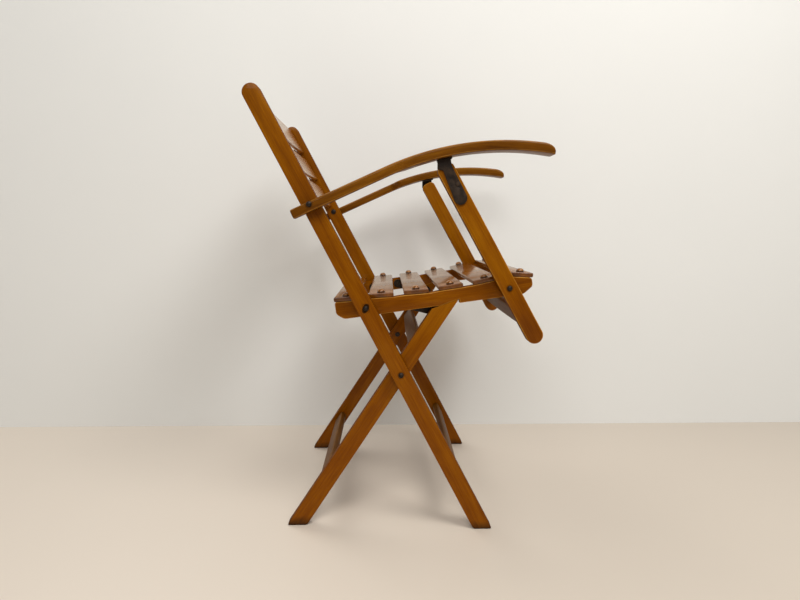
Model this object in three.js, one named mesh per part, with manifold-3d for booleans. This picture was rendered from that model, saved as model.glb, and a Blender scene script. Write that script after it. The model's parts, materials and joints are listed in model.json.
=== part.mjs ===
// Folding wooden armchair for the porch, in millimetres with +Z up.
// The sitter faces -Y and the sitter's right hand is on -X.
// Everything is drawn in a side frame first: x forward, y up, z towards the sitter's right.
import * as THREE from 'three';
import { mergeVertices } from 'three/addons/utils/BufferGeometryUtils.js';
import Module from 'manifold-3d';

const wasm = await Module();
wasm.setup();

// Fits
const seatGap = 0.3;            // between pieces that touch
const shankPlay = 0.4;          // hole radius beyond its rivet or nail
const tenonPlay = 0.3;          // mortise wall to tenon
const cutOverrun = 2;           // how far a cutter runs past the face it opens

// Main geometry, seen from the side
const frameWidth = 412;         // between the inner faces of the back posts
const crossHeight = 285;        // pivot where back posts and rear legs cross
const backLean = 27.4;          // degrees from upright, back posts
const legLean = 33.4;           // degrees from upright, rear legs
const crossToSeat = 133;        // along the back post, cross pivot to seat pivot
const seatToArm = 200;          // along the back post, seat pivot to arm pivot
const seatReach = 251.5;        // seat pivot to the pivot of the arm posts
const seatTilt = 7.9;           // degrees, seat rails rise to the front

// Back posts
const backPostWidth = 30;
const backPostThickness = 20;
const backPostAbove = 555;      // cross pivot to the rounded top
const recessWidth = 11;         // oval recess round the head of the seat pivot
const recessLength = 18;
const recessDepth = 1.5;

// Back slats
const topSlatHeight = 62;
const backSlatHeight = 52;
const backSlatThickness = 9;
const backSlatGap = 18;
const backSlatTop = 6;          // top of the post to the top slat
const backSlatSetback = 2.2;    // behind the middle of the post
const backSlatTilt = 3;         // degrees, leaning back from the post
const backSlatBow = 3.5;        // how far the middle lies behind the ends
const backSlatCrown = 7;        // and how much higher the upper edge is there
const backSlatEdge = 3;         // rounding of the long edges

// Rear legs
const legWidth = 30;
const legThickness = 20;
const legBehind = 2;            // cross pivot to the middle line of a leg
const legTipDepth = 7.5;        // how far the tip of a leg enters the seat rail
const legCutTilt = 12;          // degrees between the notch and the rail

// Arm posts
const armPostLean = 29;         // degrees from upright
const armPostWidth = 30;
const armPostThickness = 20;
const armPostAbove = 240;       // seat pivot of the post to its top
const armPostCorner = 10;        // rounding of the two corners at the top
const armPostBelow = 109.5;     // and to its rounded bottom

// Seat rails
const railThickness = 20;
const railDrop = 16;            // underside below the line through the pivots
const railRise = 15;            // highest slat seat above that line
const railRear = 54;            // behind the seat pivot
const railFront = 45;           // in front of the pivot of the arm posts
const rearBevelLength = 13;
const rearBevelHeight = 10;
const frontBevelLength = 18;
const frontBevelHeight = 12;

// Seat slats and their nails with domed heads
const slatWidth = 44;
const slatThickness = 8;
const firstSlat = 33;           // middle of the rear slat behind the seat pivot
const lastSlat = 25.5;          // middle of the front slat ahead of the pivot of the arm posts
const slatEdge = 2.5;
const slatEndInset = 1;         // slat ends inside the outer faces of the rails
const seatDishShares = [0.97, 0.83, 0.67, 0.69, 0.89, 0.97];
const slatTilts = [-3.4, -4, -3, 1, 5, -11];
const nailInset = 10;           // nail to the end of its slat
const nailRadius = 1.5;
const nailDepth = 13;           // into the rail
const buttonRadius = 7;
const buttonHeight = 6.5;

// Stretchers: place and height along the posts, thickness, and how much higher the middle is
const stretcherEdge = 5;
const tenonShoulder = 5;        // step above and below the tenon
const tenonLength = 12;
const frontStretcher = { drop: 217, height: 30, thickness: 14, belly: 3.6 };
const rearStretcherLow = { drop: 251, height: 30, thickness: 15, belly: 3.6 };
const rearStretcherHigh = { rise: 57, height: 28, thickness: 12, belly: 4.2, behind: 6.5 };
const armStretcher = { drop: 65.5, height: 38, thickness: 12.5, belly: 3.8, forward: 0.5 };

// Armrests
const armThickness = 16.5;
const armRadius = 486;          // of the middle line over the arched front part
const armSlope = 24.2;          // degrees, straight rear part
const armTipSlope = 9.6;        // degrees below level at the tip
const armStraight = 141;        // arm pivot to the start of the arch
const armTail = 34;             // behind the arm pivot
const armPivotRise = 3.7;       // pivot above the middle line
const armRearWidth = 20;
const armFrontWidth = 44;
const armStepStart = 150;       // arm pivot to where the arm grows wider
const armStepLength = 26;
const armEdge = 4;
const armNoseLength = 22;       // the top rounds down over the tip
const armNoseDrop = 12.5;
const armNoseCorner = 4;        // rounding of the tip seen from above

// Steel brackets between armrests and arm posts
const plateThickness = 3;
const strapWidth = 22;          // at the round lower end
const strapTopShare = 0.25;     // of the width that the rear edge gives up towards the bend
const strapShoulder = 4;        // length of the step below the bend
const strapBehind = 6.5;        // pin to the middle line of the strap
const strapBelow = 34.4;        // pin to the round lower end
const strapAbove = 35;          // pin to the bend
const neckWidth = 22.5;
const neckLean = 2;             // degrees from upright
const neckBehind = 2;           // middle of the neck behind the middle of the strap
const flangeLength = 25;
const flangeWidth = 21;
const flangeForward = 1.5;      // middle of the flange ahead of the neck
const pinRadius = 2.5;          // pin that holds the bracket on the arm post
const pinDepth = 14;            // into the post
const pinHeadRadius = 4;
const pinHeadHeight = 1;
const screwSpacing = 14;
const screwRadius = 1.8;
const screwDepth = 9;
const screwHeadRadius = 3.4;
const screwHeadHeight = 1;

// Steel links between the seat rails and the rear legs
const linkThickness = 2.5;
const linkWidth = 19;
const linkSeatReach = 61.9;     // seat pivot to the link's pivot on the rail
const linkSeatDrop = 2;         // that pivot below the line of the rail
const linkLegReach = 128.4;     // cross pivot to the link's pivot on the leg
const linkRivetDepth = 10;

// Pivot rivets
const rivetRadius = 3;
const rivetHeadRadius = 4.7;
const rivetHeadHeight = 3.2;
const rivetEndRadius = 5.6;
const rivetEndHeight = 2.4;

// Roundness of the faceted curves
const arcSteps = 10;
const turnSteps = 12;
const smallTurnSteps = 10;

const rightSide = 1;
const leftSide = -1;
const sides = [[rightSide, 'right'], [leftSide, 'left']];
const rad = THREE.MathUtils.degToRad;

// Places that follow from the sizes
const halfFrame = frameWidth / 2;
const railMiddle = halfFrame - seatGap - railThickness / 2;
const legMiddle = halfFrame - seatGap - legThickness / 2;
const backPostMiddle = halfFrame + backPostThickness / 2;
const armPostMiddle = halfFrame + armPostThickness / 2;
const postOuter = halfFrame + Math.max(backPostThickness, armPostThickness);
const upBack = new THREE.Vector2(-Math.sin(rad(backLean)), Math.cos(rad(backLean)));
const upLeg = new THREE.Vector2(Math.sin(rad(legLean)), Math.cos(rad(legLean)));
const alongSeat = new THREE.Vector2(Math.cos(rad(seatTilt)), Math.sin(rad(seatTilt)));
const crossPivot = new THREE.Vector2(0, crossHeight);
const seatPivot = crossPivot.clone().addScaledVector(upBack, crossToSeat);
const armPivot = seatPivot.clone().addScaledVector(upBack, seatToArm);
const postPivot = seatPivot.clone().addScaledVector(alongSeat, seatReach);

// Materials
function varnish(color) {
  return new THREE.MeshStandardMaterial({ color, roughness: 0.35, metalness: 0 });
}
const wood = varnish(0x9a5414);
const darkWood = varnish(0x7c3d10);
const buttonBrown = varnish(0x4a2412);
const darkIron = new THREE.MeshStandardMaterial({ color: 0x1c1613, roughness: 0.5, metalness: 0.8 });

// Solids for cutting and joining
function toSolid(geometry) {
  const bare = geometry.index ? geometry.clone() : geometry;
  bare.deleteAttribute('normal');
  bare.deleteAttribute('uv');
  const merged = mergeVertices(bare);
  return new wasm.Manifold(new wasm.Mesh({
    numProp: 3,
    vertProperties: Float32Array.from(merged.attributes.position.array),
    triVerts: Uint32Array.from(merged.index.array),
  }));
}

function toGeometry(solid) {
  const mesh = solid.getMesh();
  const geometry = new THREE.BufferGeometry();
  geometry.setAttribute('position', new THREE.BufferAttribute(mesh.vertProperties, 3));
  geometry.setIndex(new THREE.BufferAttribute(mesh.triVerts, 1));
  geometry.computeVertexNormals();
  return geometry;
}

function cutAway(geometry, cutters) {
  const left = cutters.reduce((solid, cutter) => solid.subtract(toSolid(cutter)), toSolid(geometry));
  return toGeometry(left);
}

// A board sawn from an outline in the side frame, its middle plane at z
function board(outline, thickness, z) {
  const geometry = new THREE.ExtrudeGeometry(outline, {
    depth: thickness, bevelEnabled: false, curveSegments: arcSteps,
  });
  return geometry.translate(0, 0, z - thickness / 2);
}

function polygon(points) {
  return new THREE.Shape(points.map(([x, y]) => new THREE.Vector2(x, y)));
}

function pivotHole(outline, x, y, radius = rivetRadius) {
  outline.holes.push(new THREE.Path().absarc(x, y, radius + shankPlay, 0, 2 * Math.PI));
}

function stadium(length, width) {
  const half = (length - width) / 2;
  const outline = new THREE.Shape();
  outline.absarc(half, 0, width / 2, -Math.PI / 2, Math.PI / 2);
  outline.absarc(-half, 0, width / 2, Math.PI / 2, 1.5 * Math.PI);
  return outline;
}

// A cylinder along z from one level to another
function pegAlongZ(radius, x, y, fromZ, toZ) {
  const length = Math.abs(toZ - fromZ);
  const peg = new THREE.CylinderGeometry(radius, radius, length, smallTurnSteps);
  return peg.rotateX(Math.PI / 2).translate(x, y, (fromZ + toZ) / 2);
}

// A rounded rectangle round the middle, as points that run anticlockwise
function roundedSection(width, height, radius) {
  const corner = Math.min(radius, width / 2, height / 2);
  const points = [];
  [[1, 1], [-1, 1], [-1, -1], [1, -1]].forEach(([right, up], quarter) => {
    for (let step = 0; step <= 2; step += 1) {
      const angle = (quarter + step / 2) * Math.PI / 2;
      points.push([
        right * (width / 2 - corner) + corner * Math.cos(angle),
        up * (height / 2 - corner) + corner * Math.sin(angle),
      ]);
    }
  });
  return points;
}

// A closed skin over rings of equal count, each ring a list of points
function loft(rings) {
  const count = rings[0].length;
  const positions = rings.flat(2);
  const middle = (ring) => ring.reduce((sum, point) => sum.map((v, k) => v + point[k] / count), [0, 0, 0]);
  positions.push(...middle(rings[0]), ...middle(rings[rings.length - 1]));
  const firstMiddle = rings.length * count;
  const lastMiddle = firstMiddle + 1;
  const faces = [];
  for (let k = 0; k < count; k += 1) {
    const next = (k + 1) % count;
    for (let ring = 0; ring + 1 < rings.length; ring += 1) {
      const low = ring * count;
      const high = low + count;
      faces.push(low + k, low + next, high + next, low + k, high + next, high + k);
    }
    const last = (rings.length - 1) * count;
    faces.push(firstMiddle, next, k, lastMiddle, last + k, last + next);
  }
  const geometry = new THREE.BufferGeometry();
  geometry.setAttribute('position', new THREE.Float32BufferAttribute(positions, 3));
  geometry.setIndex(faces);
  geometry.computeVertexNormals();
  return geometry;
}

function mirrored(geometry) {
  const copy = geometry.clone().scale(1, 1, -1);
  const index = copy.index.array;
  for (let k = 0; k < index.length; k += 3) {
    [index[k], index[k + 1]] = [index[k + 1], index[k]];
  }
  copy.computeVertexNormals();
  return copy;
}

function piece(name, geometry, material, parent) {
  const mesh = new THREE.Mesh(geometry, material);
  mesh.name = name;
  parent.add(mesh);
  return mesh;
}

// A turned piece with a domed head above zero, a shank below it and, if wanted, a peened end
function turned({ headRadius, headHeight, shankRadius, length, endRadius = 0, endHeight = 0 }) {
  const profile = [];
  if (endRadius > 0) {
    profile.push([0, -length - endHeight], [endRadius * 0.6, -length - endHeight]);
    profile.push([endRadius, -length - endHeight / 2], [endRadius, -length]);
  } else {
    profile.push([0, -length]);
  }
  profile.push([shankRadius, -length], [shankRadius, 0], [headRadius, 0]);
  const domeSteps = 3;
  for (let step = 1; step <= domeSteps; step += 1) {
    const angle = (step / domeSteps) * Math.PI / 2;
    profile.push([headRadius * Math.cos(angle), headHeight * Math.sin(angle)]);
  }
  profile[profile.length - 1][0] = 0;
  const outline = profile.map(([radius, level]) => new THREE.Vector2(radius, level));
  return new THREE.LatheGeometry(outline, turnSteps);
}

// A pivot rivet across the chair, its head base at the outer level and its end at the inner one
function rivetAcross(name, parent, side, x, y, outer, inner) {
  const geometry = turned({
    headRadius: rivetHeadRadius, headHeight: rivetHeadHeight, shankRadius: rivetRadius,
    length: outer - inner + 2 * seatGap, endRadius: rivetEndRadius, endHeight: rivetEndHeight,
  });
  const rivet = piece(name, geometry.rotateX(Math.PI / 2), darkIron, parent);
  rivet.position.set(x, y, side * (outer + seatGap));
  rivet.rotation.x = side > 0 ? 0 : Math.PI;
  return rivet;
}

// Height at which a piece that leans about its pivot is cut level with the ground
function groundCut(pivotHeight, lean, x) {
  return -(pivotHeight + x * Math.sin(rad(lean))) / Math.cos(rad(lean));
}

// A batten across the chair between two inner faces, with a tenon at each end
function batten({ span, height, thickness, edge, belly = 0, crown = 0, bow = 0, tilt = 0, x, y }) {
  const half = span / 2 - seatGap;
  const bodySteps = 8;
  const cos = Math.cos(rad(tilt));
  const sin = Math.sin(rad(tilt));
  const ringAt = (z, h, t, radius, dx, lift) => roundedSection(t, h, radius)
    .map(([a, b]) => [x + dx + a * cos - (b + lift) * sin, y + a * sin + (b + lift) * cos, z]);
  const tenonHeight = height - 2 * tenonShoulder;
  const tenonThickness = thickness - 2 * tenonPlay;
  const tenonEdge = tenonPlay;
  const rings = [];
  const tenon = (z) => rings.push(ringAt(z, tenonHeight, tenonThickness, tenonEdge, 0, 0));
  tenon(-half - tenonLength);
  tenon(-half);
  for (let step = 0; step <= bodySteps; step += 1) {
    const share = 2 * step / bodySteps - 1;
    const swell = 1 - share * share;
    rings.push(ringAt(
      share * half, height + (belly + crown) * swell, thickness, edge, -bow * swell, crown * swell / 2,
    ));
  }
  tenon(half);
  tenon(half + tenonLength);
  return loft(rings);
}

function mortise({ span, height, thickness, tilt = 0, x, y }, side) {
  const depth = tenonLength + tenonPlay + cutOverrun;
  const box = new THREE.BoxGeometry(
    thickness + 2 * tenonPlay, height - 2 * tenonShoulder + 2 * tenonPlay, depth,
  );
  return box.rotateZ(rad(tilt)).translate(x, y, side * (span / 2 - cutOverrun + depth / 2));
}

// Back frame: two posts, three slats, one stretcher and the pivots that stay with it
function backFrame() {
  const group = new THREE.Group();
  group.position.set(crossPivot.x, crossPivot.y, 0);
  group.rotation.z = rad(backLean);
  const half = backPostWidth / 2;
  const outline = new THREE.Shape();
  outline.moveTo(-half, groundCut(crossHeight, backLean, -half));
  outline.lineTo(half, groundCut(crossHeight, backLean, half));
  outline.absarc(0, backPostAbove - half, half, 0, Math.PI);
  outline.closePath();
  const pivots = [0, crossToSeat, crossToSeat + seatToArm];
  pivots.forEach((y) => pivotHole(outline, 0, y));

  let slatTop = backPostAbove - backSlatTop;
  const slats = [['top', topSlatHeight], ['middle', backSlatHeight], ['bottom', backSlatHeight]]
    .map(([level, height]) => {
      const y = slatTop - height / 2;
      slatTop -= height + backSlatGap;
      return {
        name: `back_slat_${level}`,
        span: frameWidth, height, thickness: backSlatThickness, edge: backSlatEdge,
        crown: backSlatCrown, bow: backSlatBow, tilt: backSlatTilt, x: -backSlatSetback, y,
      };
    });
  const stretcher = {
    name: 'front_stretcher', span: frameWidth, edge: stretcherEdge, x: 0,
    y: -frontStretcher.drop, ...frontStretcher,
  };
  const across = [...slats, stretcher];
  across.forEach((bar) => piece(bar.name, batten(bar), wood, group));

  for (const [side, label] of sides) {
    const recess = board(stadium(recessLength, recessWidth), recessDepth + cutOverrun, 0)
      .rotateZ(Math.PI / 2)
      .translate(0, crossToSeat, side * (halfFrame + backPostThickness - recessDepth / 2 + cutOverrun / 2));
    const cutters = [...across.map((bar) => mortise(bar, side)), recess];
    const post = cutAway(board(outline, backPostThickness, side * backPostMiddle), cutters);
    piece(`back_post_${label}`, post, wood, group);
    const postFace = halfFrame + backPostThickness;
    rivetAcross(`cross_pivot_${label}`, group, side, 0, 0, postFace, legMiddle - legThickness / 2);
    rivetAcross(`seat_pivot_${label}`, group, side, 0, crossToSeat, postFace - recessDepth,
      railMiddle - railThickness / 2);
    rivetAcross(`arm_pivot_${label}`, group, side, 0, crossToSeat + seatToArm,
      postOuter + seatGap + armRearWidth, halfFrame);
  }
  return group;
}

// Seat: places along the rail, measured from the seat pivot
const slatPitch = (firstSlat + seatReach + lastSlat) / (slatTilts.length - 1);

function slatPlace(k) {
  return { x: k * slatPitch - firstSlat, y: railRise * seatDishShares[k], tilt: rad(slatTilts[k]) };
}

function slatSeatHeight(k, x) {
  const place = slatPlace(k);
  return place.y + Math.tan(place.tilt) * (x - place.x);
}

// The notch that takes the tip of a rear leg, in the frame of the seat
function legNotch() {
  const toSeat = (point) => point.clone().sub(seatPivot).rotateAround(new THREE.Vector2(), -rad(seatTilt));
  const legFront = new THREE.Vector2(upLeg.y, -upLeg.x).multiplyScalar(legWidth / 2 - legBehind).add(crossPivot);
  const onFront = toSeat(legFront);
  const frontDirection = toSeat(legFront.clone().add(upLeg)).sub(onFront);
  const tipHeight = legTipDepth - railDrop;
  const tip = onFront.addScaledVector(frontDirection, (tipHeight - onFront.y) / frontDirection.y);
  const slope = Math.tan(rad(legCutTilt));
  return { tip, slope, startX: tip.x - legTipDepth / slope };
}

function seatRailOutline() {
  const rear = -railRear;
  const front = seatReach + railFront;
  const last = slatTilts.length - 1;
  const notch = legNotch();
  const points = [
    [rear + rearBevelLength, -railDrop],
    [notch.startX, -railDrop],
    [notch.tip.x + 2 * seatGap, notch.tip.y + 2 * seatGap * notch.slope],
    [notch.tip.x + 2 * seatGap, -railDrop],
    [front - frontBevelLength, -railDrop],
    [front, frontBevelHeight - railDrop],
    [front, slatSeatHeight(last, front)],
  ];
  for (let k = last; k >= 0; k -= 1) {
    const { x, tilt } = slatPlace(k);
    const reach = Math.cos(tilt) * slatWidth / 2;
    if (k < last) points.push([x + reach, slatSeatHeight(k, x + reach)]);
    if (k > 0) points.push([x - reach, slatSeatHeight(k, x - reach)]);
  }
  points.push([rear, slatSeatHeight(0, rear)], [rear, rearBevelHeight - railDrop]);
  return polygon(points);
}

function seat() {
  const group = new THREE.Group();
  group.position.set(seatPivot.x, seatPivot.y, 0);
  group.rotation.z = rad(seatTilt);
  const slatHalf = halfFrame - seatGap - slatEndInset;
  const nailLine = slatHalf - nailInset;
  const railFace = railMiddle - railThickness / 2;

  const outline = seatRailOutline();
  pivotHole(outline, 0, 0);
  pivotHole(outline, seatReach, 0);
  for (const [side, label] of sides) {
    const nailHoles = slatTilts.map((_, k) => {
      const { x, y, tilt } = slatPlace(k);
      const depth = nailDepth + shankPlay;
      const hole = new THREE.CylinderGeometry(
        nailRadius + shankPlay, nailRadius + shankPlay, depth + cutOverrun, smallTurnSteps,
      );
      return hole.translate(0, (cutOverrun - depth) / 2, 0).rotateZ(tilt).translate(x, y, side * nailLine);
    });
    const linkHole = pegAlongZ(rivetRadius + shankPlay, linkSeatReach, -linkSeatDrop,
      side * (railFace - cutOverrun), side * (railFace + linkRivetDepth + shankPlay));
    const rail = board(outline, railThickness, side * railMiddle);
    piece(`seat_rail_${label}`, cutAway(rail, [...nailHoles, linkHole]), wood, group);
    rivetAcross(`post_pivot_${label}`, group, side, seatReach, 0,
      halfFrame + armPostThickness, railFace);
    const linkRivet = turned({
      headRadius: rivetHeadRadius, headHeight: rivetHeadHeight, shankRadius: rivetRadius,
      length: linkThickness + 2 * seatGap + linkRivetDepth,
    }).rotateX(-Math.PI / 2);
    const rivet = piece(`link_rail_rivet_${label}`, linkRivet, darkIron, group);
    rivet.position.set(linkSeatReach, -linkSeatDrop, side * (railFace - linkThickness - 2 * seatGap));
    rivet.rotation.x = side > 0 ? 0 : Math.PI;
  }

  const slatRing = (z) => roundedSection(slatWidth, slatThickness, slatEdge).map(([a, b]) => [a, b, z]);
  const button = turned({
    headRadius: buttonRadius, headHeight: buttonHeight, shankRadius: nailRadius,
    length: slatThickness + 2 * seatGap + nailDepth,
  });
  slatTilts.forEach((_, k) => {
    const { x, y, tilt } = slatPlace(k);
    const up = new THREE.Vector2(-Math.sin(tilt), Math.cos(tilt));
    const place = (mesh, lift, z) => {
      mesh.position.set(x + up.x * lift, y + up.y * lift, z);
      mesh.rotation.z = tilt;
    };
    const nailHoles = sides.map(([side]) => {
      const hole = new THREE.CylinderGeometry(
        nailRadius + shankPlay, nailRadius + shankPlay, slatThickness + 2 * cutOverrun, smallTurnSteps,
      );
      return hole.translate(0, 0, side * nailLine);
    });
    const slat = cutAway(loft([slatRing(-slatHalf), slatRing(slatHalf)]), nailHoles);
    place(piece(`seat_slat_${k + 1}`, slat, wood, group), slatThickness / 2 + seatGap, 0);
    for (const [side, label] of sides) {
      const mesh = piece(`seat_button_${label}_${k + 1}`, button, buttonBrown, group);
      place(mesh, slatThickness + 2 * seatGap, side * nailLine);
    }
  });
  return group;
}

// Rear legs: two legs cut to the notch in the rails, and two stretchers
function rearLegs() {
  const group = new THREE.Group();
  group.position.set(crossPivot.x, crossPivot.y, 0);
  group.rotation.z = -rad(legLean);
  const front = legWidth / 2 - legBehind;
  const rear = -legWidth / 2 - legBehind;
  const notch = legNotch();
  const toLeg = (x, y) => new THREE.Vector2(x, y)
    .rotateAround(new THREE.Vector2(), rad(seatTilt)).add(seatPivot).sub(crossPivot)
    .rotateAround(new THREE.Vector2(), rad(legLean));
  const tip = toLeg(notch.tip.x, notch.tip.y - seatGap);
  const start = toLeg(notch.startX, -railDrop - seatGap);
  const cutSlope = (tip.y - start.y) / (tip.x - start.x);
  const outline = polygon([
    [rear, groundCut(crossHeight, -legLean, rear)],
    [front, groundCut(crossHeight, -legLean, front)],
    [front, tip.y + (front - tip.x) * cutSlope],
    [rear, tip.y + (rear - tip.x) * cutSlope],
  ]);
  pivotHole(outline, 0, 0);

  const span = frameWidth - 2 * (seatGap + legThickness);
  const shared = { span, edge: stretcherEdge, x: -legBehind };
  const across = [
    { name: 'rear_stretcher_low', ...shared, y: -rearStretcherLow.drop, ...rearStretcherLow },
    {
      name: 'rear_stretcher_high', ...shared, x: -rearStretcherHigh.behind,
      y: rearStretcherHigh.rise, ...rearStretcherHigh,
    },
  ];
  across.forEach((bar) => piece(bar.name, batten(bar), darkWood, group));
  for (const [side, label] of sides) {
    const leg = board(outline, legThickness, side * legMiddle);
    const cutters = across.map((bar) => mortise(bar, side));
    piece(`rear_leg_${label}`, cutAway(leg, cutters), wood, group);
  }
  return group;
}

// Arm posts: two posts that pivot on the seat rails, and the stretcher below the seat
function armPosts() {
  const group = new THREE.Group();
  group.position.set(postPivot.x, postPivot.y, 0);
  group.rotation.z = rad(armPostLean);
  const half = armPostWidth / 2;
  const pinTurn = rad(armPostLean - backLean);
  const outline = new THREE.Shape();
  const flat = half - armPostCorner;
  outline.absarc(flat, armPostAbove - armPostCorner, armPostCorner, 0, Math.PI / 2);
  outline.absarc(-flat, armPostAbove - armPostCorner, armPostCorner, Math.PI / 2, Math.PI);
  outline.absarc(0, half - armPostBelow, half, Math.PI, 2 * Math.PI);
  outline.closePath();
  pivotHole(outline, 0, 0);

  const bar = {
    span: frameWidth, edge: stretcherEdge, x: armStretcher.forward, y: -armStretcher.drop, ...armStretcher,
  };
  piece('arm_post_stretcher', batten(bar), darkWood, group);
  for (const [side, label] of sides) {
    const post = board(outline, armPostThickness, side * armPostMiddle);
    const postFace = halfFrame + armPostThickness;
    const pinHole = pegAlongZ(
      pinRadius + shankPlay, seatToArm * Math.sin(pinTurn), seatToArm * Math.cos(pinTurn),
      side * (postFace - pinDepth - shankPlay), side * (postFace + cutOverrun),
    );
    piece(`arm_post_${label}`, cutAway(post, [mortise(bar, side), pinHole]), wood, group);
  }
  return group;
}

// Armrest: the middle line runs straight, then arches, measured from the arm pivot
const straightDirection = new THREE.Vector2(Math.cos(rad(armSlope)), Math.sin(rad(armSlope)));
const straightNormal = new THREE.Vector2(-straightDirection.y, straightDirection.x);
const archStart = straightDirection.clone().multiplyScalar(armStraight)
  .addScaledVector(straightNormal, -armPivotRise);
const archCentre = archStart.clone().addScaledVector(straightNormal, -armRadius);
const archLength = armRadius * rad(armSlope + armTipSlope);

function armLine(distance) {
  if (distance <= armStraight) {
    const point = archStart.clone().addScaledVector(straightDirection, distance - armStraight);
    return { point, normal: straightNormal };
  }
  const angle = (distance - armStraight) / armRadius - rad(armSlope);
  const normal = new THREE.Vector2(Math.sin(angle), Math.cos(angle));
  return { point: archCentre.clone().addScaledVector(normal, armRadius), normal };
}

function armRing(distance) {
  const total = armStraight + archLength;
  const { point, normal } = armLine(distance);
  const step = THREE.MathUtils.smoothstep(distance, armStepStart, armStepStart + armStepLength);
  const rounding = (length) => {
    const share = Math.max(0, (distance - total + length) / length);
    return 1 - Math.sqrt(1 - Math.min(share, 1) ** 2);
  };
  const fullWidth = armRearWidth + step * (armFrontWidth - armRearWidth);
  const width = fullWidth - 2 * armNoseCorner * rounding(armNoseCorner);
  const lost = armNoseDrop * rounding(armNoseLength);
  const outerFace = postOuter + seatGap + armRearWidth;
  const middle = outerFace - fullWidth / 2;
  return roundedSection(width, armThickness - lost, armEdge).map(([across, up]) => {
    const lift = up - lost / 2;
    return [point.x + normal.x * lift, point.y + normal.y * lift, middle - across];
  });
}

function armrestGeometry() {
  const total = armStraight + archLength;
  const stops = [-armTail, 0, armStraight / 2, armStraight];
  const stepRings = 5;
  for (let k = 0; k <= stepRings; k += 1) stops.push(armStepStart + armStepLength * k / stepRings);
  const archRings = 9;
  const archFrom = armStepStart + armStepLength;
  const archTo = total - armNoseLength;
  for (let k = 1; k <= archRings; k += 1) stops.push(archFrom + (archTo - archFrom) * k / archRings);
  const noseShares = [0.35, 0.6, 0.8, 0.93, 1];
  noseShares.forEach((share) => stops.push(archTo + armNoseLength * share));
  return loft(stops.map(armRing));
}

// Bracket: where its flange lies under the arch, in the frame of the armrest
const bracketPin = new THREE.Vector2(seatReach * alongSeat.x, seatReach * alongSeat.y);
const strapAcross = new THREE.Vector2(upBack.y, -upBack.x);
const bend = bracketPin.clone().addScaledVector(upBack, strapAbove)
  .addScaledVector(strapAcross, -strapBehind);
const upNeck = new THREE.Vector2(-Math.sin(rad(neckLean)), Math.cos(rad(neckLean)));
const undersideRadius = armRadius - armThickness / 2;
const neckFoot = bend.clone().addScaledVector(strapAcross, -neckBehind);
const bendOffset = neckFoot.clone().sub(archCentre);
const bendRise = bendOffset.dot(upNeck);
const neckLength = Math.sqrt(bendRise ** 2 - bendOffset.lengthSq() + undersideRadius ** 2) - bendRise;
const neckTop = bendOffset.clone().addScaledVector(upNeck, neckLength);
const flangeAngle = Math.atan2(neckTop.x, neckTop.y);
const flangeUp = new THREE.Vector2(Math.sin(flangeAngle), Math.cos(flangeAngle));
const flangeAlong = new THREE.Vector2(flangeUp.y, -flangeUp.x);
const flangeTop = Math.sqrt(undersideRadius ** 2 - (flangeLength / 2 + flangeForward) ** 2) - seatGap;

function onFlange(along, level) {
  return archCentre.clone().addScaledVector(flangeUp, level).addScaledVector(flangeAlong, along);
}

function bracketGeometry() {
  const plateMiddle = halfFrame + armPostThickness + seatGap + plateThickness / 2;
  const halfStrap = strapWidth / 2;
  const halfNeck = neckWidth / 2;
  const outline = new THREE.Shape();
  const neckTurn = Math.tan(rad(backLean - neckLean) / 2);
  const onStrap = (along, across) => bend.clone()
    .addScaledVector(upBack, along).addScaledVector(strapAcross, across);
  const topLevel = flangeTop - plateThickness / 2;
  const arcStart = strapBelow + strapAbove - halfStrap;
  outline.setFromPoints([
    onFlange(neckWidth / 2, topLevel), onFlange(-neckWidth / 2, topLevel),
    onStrap(neckTurn * halfStrap, -halfNeck - neckBehind),
    onStrap(-strapShoulder, strapWidth * strapTopShare - halfStrap), onStrap(-arcStart, -halfStrap),
  ]);
  const endCentre = onStrap(-arcStart, 0);
  const startAngle = Math.PI + rad(backLean);
  outline.absarc(endCentre.x, endCentre.y, halfStrap, startAngle, startAngle + Math.PI);
  const front = onStrap(-neckTurn * halfStrap, halfStrap);
  outline.lineTo(front.x, front.y);
  outline.closePath();
  pivotHole(outline, bracketPin.x, bracketPin.y, pinRadius);
  const plate = board(outline, plateThickness, plateMiddle);

  const flangeMiddle = onFlange(flangeForward, flangeTop - plateThickness / 2);
  const flangeOuter = plateMiddle + plateThickness / 2;
  const flange = new THREE.BoxGeometry(flangeLength, plateThickness, flangeWidth)
    .rotateZ(-flangeAngle)
    .translate(flangeMiddle.x, flangeMiddle.y, flangeOuter - flangeWidth / 2);
  const holes = [-1, 1].map((end) => screwHole(end, screwRadius + shankPlay, plateThickness + 2 * cutOverrun)
    .translate(0, 0, flangeOuter - flangeWidth / 2));
  const joined = toSolid(plate).add(toSolid(flange));
  return toGeometry(holes.reduce((solid, hole) => solid.subtract(toSolid(hole)), joined));
}

function screwHole(end, radius, length) {
  const centre = onFlange(flangeForward + end * screwSpacing / 2, flangeTop - plateThickness / 2);
  return new THREE.CylinderGeometry(radius, radius, length, smallTurnSteps)
    .rotateZ(-flangeAngle).translate(centre.x, centre.y, 0);
}

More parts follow.
